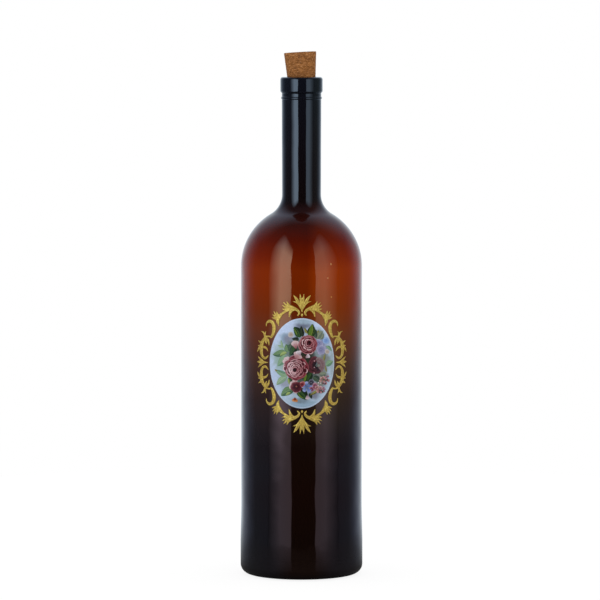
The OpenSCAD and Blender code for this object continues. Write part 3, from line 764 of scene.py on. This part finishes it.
# Root, tip, half width, bend, green and layer
leaf_rows = [
    # Crown
    ((-1.2, 18.0), (-5.6, 25.4), 2.9, -0.7, "deep", 1),
    ((-3.2, 19.5), (-6.0, 24.6), 0.9, -0.4, "bright", 3),
    ((0.6, 18.5), (-0.6, 26.0), 1.6, 0.3, "dark", 2),
    ((4.0, 20.6), (1.6, 24.8), 1.0, 0.2, "olive", 1),
    ((5.2, 17.6), (7.0, 27.4), 2.6, -1.0, "bright", 4),
    ((6.8, 17.6), (7.8, 27.0), 2.4, 1.3, "dark", 3),
    ((9.6, 17.4), (9.8, 23.4), 1.6, 0.6, "shade", 2),
    ((10.0, 16.4), (14.6, 22.2), 2.0, 0.5, "grey", 1),
    ((11.4, 17.8), (11.4, 23.0), 1.3, 0.2, "olive", 0),
    ((12.8, 16.4), (15.4, 20.6), 1.2, -0.3, "grey", 0),
    ((-2.0, 16.8), (-7.0, 17.2), 1.5, 0.3, "dark", 1),
    # Left spray
    ((-13.4, 10.4), (-14.8, 16.2), 0.9, 0.1, "pale", 1),
    ((-12.6, 11.0), (-17.2, 12.4), 0.9, 0.2, "pale", 1),
    ((-8.8, 8.0), (-11.2, 13.2), 2.3, 0.3, "fresh", 2),
    ((-12.0, 8.6), (-21.0, 5.6), 2.3, 0.7, "fresh", 2),
    ((-10.6, 7.6), (-15.6, 5.2), 1.2, -0.3, "spring", 3),
    ((-12.0, 5.8), (-17.4, -2.2), 2.5, 0.7, "faded", 1),
    ((-4.6, 12.0), (-8.6, 5.4), 2.4, 0.5, "deep", 3),
    ((-6.6, 13.4), (-9.4, 8.4), 1.8, -0.3, "shade", 2),
    ((-9.9, -8.4), (-19.0, -4.8), 1.9, 0.5, "faded", 2),
    ((-17.6, -5.6), (-19.4, -4.4), 0.7, 0.1, "olive", 3),
    ((-10.4, -9.0), (-18.2, -15.4), 2.2, -0.5, "pale", 1),
    ((-6.4, -8.4), (-9.4, -14.0), 2.3, 0.4, "deep", 1),
    ((-9.8, -10.4), (-8.8, -14.8), 0.8, 0.2, "spring", 2),
    # Foot
    ((-5.6, -17.6), (-14.8, -22.6), 3.0, -0.7, "fresh", 2),
    ((-8.0, -20.2), (-11.4, -22.4), 1.0, -0.2, "spring", 3),
    ((-3.6, -17.8), (4.0, -25.4), 3.3, 0.6, "deep", 3),
    ((-2.6, -20.6), (1.4, -24.2), 0.9, -0.5, "bright", 4),
    ((3.2, -7.6), (1.4, -13.8), 1.5, 0.2, "bright", 1),
    ((6.6, -6.6), (3.4, -12.4), 1.9, 0.2, "deep", 2),
    ((11.4, -18.6), (5.6, -22.0), 1.0, 0.2, "olive", 3),
    ((4.8, -20.8), (6.8, -24.6), 1.1, 0.2, "dark", 2),
    # Right spray
    ((17.0, -1.8), (22.4, 1.0), 2.1, 0.4, "faded", 1),
    ((11.8, -7.6), (17.4, -7.0), 1.6, -0.3, "grey", 1),
    ((7.8, -9.2), (12.6, -13.0), 2.1, 0.3, "shade", 1),
    ((9.6, -14.2), (14.8, -14.6), 1.2, 0.3, "grey", 1),
    ((13.2, -8.6), (18.8, -12.8), 1.6, 0.2, "shade", 0),
    ((10.4, -19.4), (16.0, -20.0), 1.2, -0.2, "shade", 0),
    ((15.6, 1.4), (16.4, 6.4), 0.8, 0.2, "olive", 0),
    ((17.6, -6.4), (16.6, -1.4), 0.6, 0.3, "olive", 1),
    ((17.0, 11.8), (21.4, 8.0), 1.1, 0.6, "faded", 0),
]
leaves = [leaf(*row) for row in leaf_rows]
fire_on(leaves, "bouquet_leaves", enamel("leaf_enamel"), "leaf_print")


# The small flowers and buds: mauve, blue, burgundy and pink, five petals round an eye each,
# or a bud of three. They lie over the leaves and under the roses.
def petal(centre, start_r, end_r, turn, half_turn, height, tones):
    """A petal that fans out from start_r to end_r, dark at its base and pale at its rim."""
    base, body, rim = tones
    lit = 0.5 + 0.5 * math.cos(turn - math.radians(130))

    def shape(u, v):
        side = 2 * v - 1
        end = end_r * (1 - 0.16 * abs(side) ** 3)
        radius = start_r + (end - start_r) * u
        angle = turn + side * half_turn * (1 - 0.35 * (1 - u) - 0.12 * u**3)
        lift = height + 0.02 * math.sin(math.pi * u) + 0.012 * side
        return (centre[0] + radius * math.cos(angle), centre[1] + radius * math.sin(angle), lift)

    def paint(u, v):
        spot = shape(u, v)
        fleck = noise.noise(Vector((spot[0] / 0.7, spot[1] / 0.7, 5)))
        colour = blend(base, body, ease(0.0, 0.5, u + 0.25 * fleck))
        colour = blend(colour, rim, ease(0.5, 0.95, u + 0.2 * fleck) * (0.45 + 0.55 * lit))
        return blend(colour, base, 0.45 * ease(0.75, 1.0, abs(2 * v - 1)) * (1 - lit))

    return enamel_patch("petal", 7, 6, shape, paint)


def eye(centre, radius, height, middle, edge):
    """The round eye or heart of a flower."""
    def shape(u, v):
        turn = math.tau * v
        lift = height + 0.03 * (1 - u * u)
        return (centre[0] + radius * u * math.cos(turn), centre[1] + radius * u * math.sin(turn), lift)

    return enamel_patch("eye", 4, 12, shape, lambda u, v: blend(middle, edge, ease(0.2, 1.0, u)))


def small_flower(centre, radius, turn, layer, tones, middle, petals=5):
    """Petals of uneven length round an eye."""
    height = flower_rise + 0.01 * layer
    parts = []
    for i in range(petals):
        angle = math.radians(turn) + math.tau * i / petals + random.uniform(-0.2, 0.2)
        parts.append(petal(
            centre, 0.12 * radius, radius * random.uniform(0.82, 1.12), angle,
            0.78 * math.tau / petals, height + 0.004 * (i % 2), tones,
        ))
    return parts + [eye(centre, 0.2 * radius, height + 0.02, middle, tones[0])]


def fan(centre, start_r, end_r, spread, height, tones):
    """A few petals that point the ways given by spread, in degrees, each over the last."""
    return [
        petal(centre, start_r, end_r * random.uniform(0.9, 1.08), math.radians(a), half_turn,
              height + 0.006 * i, tones)
        for i, (a, half_turn) in enumerate(spread)
    ]


maroon = ((0.006, 0.001, 0.002), (0.022, 0.003, 0.005), (0.110, 0.020, 0.028))
burgundy = ((0.020, 0.001, 0.004), (0.060, 0.004, 0.010), (0.170, 0.030, 0.040))
crimson = ((0.060, 0.003, 0.007), (0.230, 0.030, 0.040), (0.480, 0.220, 0.230))
blue = ((0.060, 0.080, 0.240), (0.110, 0.170, 0.420), (0.300, 0.330, 0.560))
lavender = ((0.130, 0.130, 0.240), (0.200, 0.200, 0.330), (0.340, 0.330, 0.460))
sky = ((0.110, 0.190, 0.400), (0.160, 0.270, 0.520), (0.280, 0.400, 0.620))
mauve = ((0.060, 0.012, 0.040), (0.200, 0.050, 0.090), (0.420, 0.220, 0.260))
rose_pink = ((0.140, 0.030, 0.040), (0.300, 0.110, 0.120), (0.520, 0.330, 0.330))
salmon = ((0.170, 0.060, 0.045), (0.300, 0.140, 0.115), (0.460, 0.300, 0.270))
blush = ((0.200, 0.050, 0.065), (0.380, 0.190, 0.200), (0.540, 0.420, 0.430))
white = ((0.220, 0.120, 0.150), (0.400, 0.300, 0.340), (0.600, 0.540, 0.580))
peach = ((0.300, 0.220, 0.170), (0.350, 0.300, 0.260), (0.440, 0.400, 0.380))
ember = ((0.060, 0.010, 0.004), (0.400, 0.090, 0.015), (0.560, 0.330, 0.110))
dusk = ((0.012, 0.010, 0.018), (0.045, 0.038, 0.060), (0.130, 0.120, 0.170))
greyrose = ((0.060, 0.026, 0.028), (0.140, 0.070, 0.074), (0.220, 0.150, 0.150))

random.seed(3)
flowers = [
    # Dark bloom beside the roses: nearly black on the left, greyed on the right
    *fan((10.6, -1.2), 1.2, 5.8, [(70, 0.7), (25, 0.7), (-18, 0.7), (-60, 0.7)], 0.268, greyrose),
    *fan(
        (10.0, -1.4), 1.0, 6.4,
        [(112, 0.6), (146, 0.6), (180, 0.6), (215, 0.6), (250, 0.6), (284, 0.5)], 0.276, maroon,
    ),
    *fan((9.6, -1.4), 0.4, 3.9, [(120, 0.7), (165, 0.7), (205, 0.7), (250, 0.7)], 0.30, maroon),
    *fan((10.8, -1.4), 0.4, 3.4, [(60, 0.8), (0, 0.8), (-60, 0.8)], 0.30, greyrose),
    eye((11.6, -1.6), 1.3, 0.33, (0.16, 0.19, 0.15), (0.12, 0.07, 0.07)),
    *[
        eye(spot, 0.42, 0.34, (0.62, 0.42, 0.44), (0.35, 0.12, 0.14))
        for spot in ((8.6, 1.6), (8.5, -2.9), (8.3, -6.8))
    ],
    # Burgundy flower with a pale collar under the lower rose, and a red one beside it
    *fan(
        (-3.9, -15.8), 0.5, 5.0,
        [(104, 0.5), (150, 0.4), (186, 0.45), (262, 0.45), (302, 0.35)], 0.268, blush,
    ),
    *small_flower((-3.9, -16.0), 3.9, 18, 3, burgundy, middle=(0.32, 0.10, 0.07), petals=6),
    *small_flower((-0.1, -14.6), 2.3, 40, 2, crimson, middle=(0.15, 0.02, 0.02)),
    # Blue and dusky flowers at the foot, and the pink clusters beside them
    *fan(
        (3.4, -16.4), 0.2, 3.9,
        [(98, 0.45), (40, 0.4), (5, 0.4), (165, 0.5), (230, 0.5), (300, 0.5)], 0.27, blue,
    ),
    *small_flower((6.2, -13.4), 2.1, 10, 1, dusk, middle=(0.3, 0.3, 0.4)),
    *small_flower((9.0, -15.8), 2.4, 15, 1, mauve, middle=(0.40, 0.10, 0.14)),
    *small_flower((6.6, -18.0), 2.0, 30, 1, mauve, middle=(0.3, 0.2, 0.4)),
    *fan(
        (12.6, -18.6), 0.2, 2.7,
        [(20, 0.5), (80, 0.5), (150, 0.6), (215, 0.5), (290, 0.5)], 0.272, rose_pink,
    ),
    *fan((10.4, -17.4), 0.2, 2.0, [(50, 0.6), (130, 0.6), (250, 0.7)], 0.292, salmon),
    *fan((14.9, -18.2), 0.2, 2.0, [(0, 0.5), (70, 0.6), (290, 0.6)], 0.286, mauve),
    *fan((14.6, -11.4), 0.2, 2.7, [(70, 0.6), (140, 0.6), (210, 0.6), (300, 0.6)], 0.27, salmon),
    *fan((17.2, -12.6), 0.2, 2.5, [(10, 0.6), (100, 0.6), (190, 0.6), (260, 0.6)], 0.28, rose_pink),
    *fan((17.8, -10.2), 0.2, 1.8, [(50, 0.7), (170, 0.7)], 0.29, mauve),
    *fan((15.8, -13.6), 0.2, 1.6, [(200, 0.7), (300, 0.7)], 0.30, burgundy),
    *fan((12.0, -14.6), 0.2, 1.5, [(30, 0.5), (120, 0.5), (230, 0.5)], 0.29, white),
    # Lavender flowers behind on the right, faded into the ground
    *small_flower((13.2, 9.4), 3.6, 20, 0, lavender, middle=(0.2, 0.24, 0.34), petals=6),
    *small_flower((11.4, 13.8), 3.2, 50, 0, lavender, middle=(0.24, 0.2, 0.34), petals=6),
    *small_flower((16.8, 15.6), 2.3, 5, 0, sky, middle=(0.2, 0.34, 0.6)),
    *small_flower((17.9, 7.8), 1.9, 45, 0, peach, middle=(0.4, 0.34, 0.34), petals=4),
    # Buds: pink beside the upper rose, peach above it, orange and white at the foot
    *fan((-4.0, 9.8), 0.2, 6.0, [(120, 0.32), (86, 0.34), (103, 0.38)], 0.34, blush),
    *small_flower((-7.6, 19.8), 2.0, 20, 0, peach, middle=(0.40, 0.26, 0.12), petals=4),
    *fan((-4.8, -23.4), 0.2, 3.4, [(240, 0.4), (290, 0.4), (266, 0.34)], 0.28, ember),
    eye((-4.9, -25.0), 0.8, 0.33, (0.05, 0.012, 0.005), (0.28, 0.05, 0.01)),
    *fan((3.4, -21.8), 0.2, 3.4, [(262, 0.34), (296, 0.34), (280, 0.3)], 0.3, white),
    # Loose pale petals at the left of the lower rose and between the two
    *fan((-6.2, -1.0), 0.5, 7.4, [(128, 0.24), (142, 0.26), (160, 0.26), (188, 0.3)], 0.30, blush),
    *fan((-4.8, 2.6), 0.3, 5.4, [(30, 0.4), (76, 0.5), (54, 0.45)], 0.50, blush),
    *fan((-1.0, 5.0), 0.3, 4.2, [(128, 0.36), (100, 0.4)], 0.52, white),
    *fan((1.8, 3.6), 0.3, 4.2, [(20, 0.3), (42, 0.34)], 0.52, white),
    eye((1.5, 4.2), 1.1, 0.55, (0.020, 0.018, 0.008), (0.10, 0.03, 0.02)),
]
fire_on(
    flowers, "bouquet_small_flowers", enamel("blossom_enamel"), "blossom_print"
)


# The two open roses: rings of overlapping petals round a dark heart, wine red in their
# folds, with a thin pale rim on each petal where it curls over.
fold = (0.050, 0.002, 0.006)
flesh = (0.230, 0.020, 0.034)
bloom = (0.680, 0.480, 0.500)
ring_rise = 0.018


def rose_petal(centre, start_r, end_r, turn, half_turn, height, glow):
    """A petal of a rose. Its colour goes by the distance from its curled rim, in mm."""
    def rim_at(side):
        wave = 0.07 * noise.noise(Vector((turn * 3, side * 2.2, end_r)))
        return end_r * (1 - 0.13 * abs(side) ** 3 + wave)

    def shape(u, v):
        side = 2 * v - 1
        radius = start_r + (rim_at(side) - start_r) * u
        angle = turn + side * half_turn * (1 - 0.3 * (1 - u) - 0.1 * u**3)
        lift = height + 0.035 * u**3 + 0.01 * side
        return (centre[0] + radius * math.cos(angle), centre[1] + radius * math.sin(angle), lift)

    def paint(u, v):
        side = 2 * v - 1
        spot = shape(u, v)
        fleck = noise.noise(Vector((spot[0] / 0.6, spot[1] / 0.6, 5)))
        inward = (rim_at(side) - start_r) * (1 - u) + 0.22 * fleck
        colour = blend(flesh, fold, ease(0.35, 1.0, inward))
        lit = glow * (1 - ease(0.25, 0.75, inward)) * (1 - 0.8 * ease(0.65, 1.0, abs(side)))
        return blend(colour, bloom, min(1.0, lit))

    return enamel_patch("rose_petal", 10, 8, shape, paint)


def rose(centre, radius, heart, rings, turn):
    """Rings of petals (count, share of the radius, glow), the outer ones lowest and each lit from
    the upper left. The heart lies off the centre, as seen from the side."""
    parts = []
    for k, (petals, share, glow) in enumerate(rings):
        middle = blend(heart, centre, share)
        end_r = radius * share
        for i in range(petals):
            angle = turn + math.tau * (i + 0.5 * (k % 2)) / petals + random.uniform(-0.15, 0.15)
            lit = glow * (0.65 + 0.35 * math.cos(angle - math.radians(165)))
            parts.append(rose_petal(
                middle, 0.25 * end_r, end_r * random.uniform(0.93, 1.06), angle,
                0.64 * math.tau / petals, rose_rise + ring_rise * k + 0.004 * (i % 2), lit,
            ))
    top = rose_rise + 0.02 + ring_rise * len(rings)
    parts.append(eye(heart, 0.17 * radius, top, (0.010, 0.002, 0.002), fold))
    return parts


random.seed(7)
roses = rose((4.2, 13.0), 6.9, (5.1, 14.6),
             [(6, 1.0, 0.35), (6, 0.84, 0.3), (5, 0.68, 0.45), (5, 0.50, 1.0), (4, 0.36, 0.6)], 0.3)
roses += rose((-4.1, -3.2), 8.6, (-5.0, -4.6),
              [(7, 1.0, 0.35), (6, 0.88, 0.12), (7, 0.75, 0.9), (7, 0.61, 1.1), (6, 0.48, 1.2),
               (5, 0.36, 1.3), (4, 0.25, 0.9)], 0.1)
# Petals that catch the light: round the upper rose's heart, and at both sides of the lower one
lit_petals = [
    ((4.8, 14.2), 3.3, 5.0, 172, 0.55, 0.47, 1.5),
    ((4.6, 14.0), 3.3, 4.6, 228, 0.34, 0.476, 1.1),
    ((4.8, 14.0), 3.6, 4.9, 272, 0.42, 0.472, 1.3),
    ((3.8, 12.0), 4.4, 6.0, 298, 0.30, 0.40, 0.8),
    ((-4.4, -3.4), 5.0, 7.4, 30, 0.24, 0.47, 0.7),
    ((-4.4, -3.6), 5.6, 8.2, -12, 0.26, 0.45, 0.9),
    ((-4.4, -3.0), 7.0, 8.8, 186, 0.30, 0.45, 1.2),
]
for centre, start_r, end_r, turn, *rest in lit_petals:
    roses.append(rose_petal(centre, start_r, end_r, math.radians(turn), *rest))
fire_on(roses, "bouquet_roses", enamel("rose_enamel"), "rose_print")


# The floor and backdrop: a pale disc that fades into a white surround. To the gloss of the foot
# the disc fades out a little way off, so the foot stays as dark as the rest.
floor_reach = 0.45
floor_back = 0.2
floor_drop = 0.5 * mm
floor_fade = (0.06, 0.34)
floor_grey = (0.12, 0.12, 0.12, 1)
floor_glow = 0.88


def staged(name, finish):
    """The primitive that was just added is part of the studio, not of the object."""
    prop = new_piece(name)
    prop.data.materials.append(finish)
    return prop


def studio_tree(owner):
    """The empty node tree of a studio material or of the world."""
    owner.use_nodes = True
    owner.node_tree.nodes.clear()
    return owner.node_tree


def light(tree, kind, colour, strength):
    """A shader that gives light: Emission on a material, Background in the world."""
    return add_node(tree, kind, {"Color": (*colour, 1), "Strength": strength}).outputs[0]


def either(tree, share, first, second):
    """The first shader where share is 0, the second where it is 1."""
    return add_node(tree, "MixShader", {0: share, 1: first, 2: second}).outputs[0]


pale_floor = bpy.data.materials.new("pale_floor")
tree = studio_tree(pale_floor)
ray = add_node(tree, "LightPath")
paint = add_node(tree, "BsdfDiffuse", {"Color": floor_grey})
glow = light(tree, "Emission", (1, 1, 1), floor_glow)
dark = light(tree, "Emission", (0, 0, 0), 0.0)
seen = either(tree, ray.outputs["Is Camera Ray"], dark, glow)
solid = add_node(tree, "AddShader", {0: paint.outputs[0], 1: seen})
away = add_node(tree, "VectorMath", {0: object_place(tree)}, operation="LENGTH").outputs["Value"]
lost = math_node(tree, "MULTIPLY", remap(tree, away, *floor_fade), ray.outputs["Is Glossy Ray"])
open_air = add_node(tree, "BsdfTransparent")
add_node(tree, "OutputMaterial", {
    "Surface": either(tree, lost, solid.outputs[0], open_air.outputs[0])
})
deselect_all()
bpy.ops.mesh.primitive_circle_add(
    vertices=128, radius=floor_reach, fill_type="NGON", location=(0, floor_back, -floor_drop)
)
staged("floor_disc", pale_floor)
bpy.ops.object.transform_apply(location=True, rotation=True, scale=True)


# Two tall softboxes stand beside the bottle, in front of it. They show only as the two bands
# of light on the glass: the soft light of the room falls on everything else.
softbox_out = 0.45
softbox_low = -0.25
softbox_high = 1.15
softbox_dim = (-0.02, 0.16)
softbox_fade = 0.6


def softbox(name, side, near, full, far, strength, foot):
    """A softbox parallel to the view, that fades from full to far, to the share foot at the
    floor and to nothing at its top."""
    glow = bpy.data.materials.new(name)
    tree = studio_tree(glow)
    split = add_node(tree, "SeparateXYZ", {"Vector": object_place(tree)})
    along = remap(tree, split.outputs["Y"], far, full)
    up = remap(tree, split.outputs["Z"], *softbox_dim, foot, 1.0)
    up.node.interpolation_type = "SMOOTHSTEP"
    top = remap(tree, split.outputs["Z"], softbox_fade, softbox_high, 1.0, 0.0)
    lit = math_node(tree, "MULTIPLY", along, math_node(tree, "MULTIPLY", up, top))
    power = math_node(tree, "MULTIPLY", lit, strength)
    add_node(tree, "OutputMaterial", {
        "Surface": light(tree, "Emission", (0.8, 1, 1.3), power)
    })
    deselect_all()
    bpy.ops.mesh.primitive_plane_add(size=1)
    prop = staged(name, glow)
    for vertex in prop.data.vertices:
        depth = near if vertex.co.x < 0 else far
        height = softbox_low if vertex.co.y < 0 else softbox_high
        vertex.co = (side * softbox_out, depth, height)
    prop.visible_camera = False
    prop.visible_diffuse = False


softbox("left_softbox", -1, near=-1.24, full=-0.54, far=-0.22, strength=5.0, foot=0.18)
softbox("right_softbox", 1, near=-0.93, full=-0.46, far=-0.15, strength=2.05, foot=0.38)

# The studio round the bottle: white to the camera and behind, dim in front
world = bpy.data.worlds.new("studio")
bpy.context.scene.world = world
tree = studio_tree(world)
split = add_node(tree, "SeparateXYZ", {"Vector": add_node(tree, "TexCoord").outputs["Generated"]})
gloss = colour_ramp(tree, remap(tree, split.outputs["Y"], -0.9, 0.9), [
    (0.00, (0.01, 0.01, 0.01)),
    (0.30, (0.07, 0.10, 0.15)),
    (0.60, (0.08, 0.11, 0.15)),
    (0.75, (0.20, 0.27, 0.40)),
    (0.90, (0.50, 0.62, 0.80)),
    (1.00, (0.88, 1.00, 1.12)),
])
# The white wall behind is brighter high up, which the foot of the neck picks up
backward = remap(tree, split.outputs["Y"], 0.0, 0.6)
upward = remap(tree, split.outputs["Z"], 0.45, 0.85)
high_wall = math_node(tree, "MULTIPLY", backward, upward)
gloss = mixed(tree, high_wall, gloss, (0.72, 0.86, 1.14, 1))
soft_fill = light(tree, "Background", (1, 1, 1), 1.2)
white_wall = light(tree, "Background", (1, 1, 1), 1.0)
studio = add_node(tree, "Background", {"Color": gloss, "Strength": 1.0}).outputs[0]
ray = add_node(tree, "LightPath")
shiny = either(tree, ray.outputs["Is Glossy Ray"], soft_fill, studio)
clear = math_node(
    tree, "MAXIMUM", ray.outputs["Is Camera Ray"], ray.outputs["Is Transmission Ray"]
)
add_node(tree, "OutputWorld", {"Surface": either(tree, clear, shiny, white_wall)})

# The camera stands 3 m away, a little above the bottle and a little to its left
camera_distance = 3.0
camera_height = 0.4212
camera_turn = math.radians(0.5)
aim = Vector((-1.05 * mm, 0, 192.2 * mm))
picture_width = 420 * mm
film_width = 36
nearest_seen = 50 * mm
stand = Vector((
    -camera_distance * math.sin(camera_turn), -camera_distance * math.cos(camera_turn), camera_height
))
bpy.ops.object.camera_add(location=stand)
camera = bpy.context.object
camera.name = "camera"
camera.rotation_euler = (aim - stand).to_track_quat("-Z", "Y").to_euler()
camera.data.sensor_width = film_width
camera.data.lens = film_width * (aim - stand).length / picture_width
camera.data.clip_start = nearest_seen
bpy.context.scene.camera = camera
bpy.context.scene.view_settings.view_transform = "Standard"
